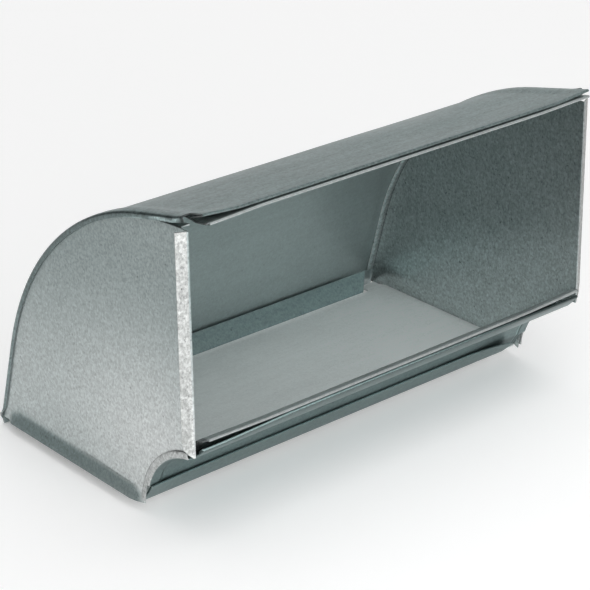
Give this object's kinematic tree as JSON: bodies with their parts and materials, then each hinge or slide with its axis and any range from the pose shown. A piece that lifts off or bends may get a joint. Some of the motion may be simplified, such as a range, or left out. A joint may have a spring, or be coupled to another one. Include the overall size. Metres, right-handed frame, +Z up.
{
  "type": "trough feeder",
  "caption": "Open-fronted sheet-steel trough feeder with a quarter-round hood, flat floor, cove under the front lip and flanged end panels.",
  "frame": {"origin": "centre of the bounding box at its bottom, which is the lower edge of the rear wall's foot", "axes": "+X along the trough from the left end panel to the right one as seen from the open front, +Y from the open front to the rear wall, +Z up with the floor level"},
  "size_m": [0.3122, 0.1905, 0.1933],
  "materials": {
    "galvanised_hood": "hot-dip galvanised, smooth, satin",
    "galvanised_left_end": "hot-dip galvanised, dull, fine spangle",
    "galvanised_right_end": "hot-dip galvanised, dull, fine spangle",
    "galvanised_floor": "hot-dip galvanised, smooth, satin",
    "galvanised_cove": "hot-dip galvanised, smooth, satin",
    "galvanised_bottom_lip": "hot-dip galvanised, smooth, satin",
    "galvanised_top_lip": "hot-dip galvanised, smooth, satin"
  },
  "bodies": {
    "root": {"hood_shell": "galvanised_hood", "left_end_panel": "galvanised_left_end", "right_end_panel": "galvanised_right_end", "floor_pan": "galvanised_floor", "cove_front": "galvanised_cove", "bottom_lip_channel": "galvanised_bottom_lip", "top_lip_channel": "galvanised_top_lip"}
  },
  "joints": []
}
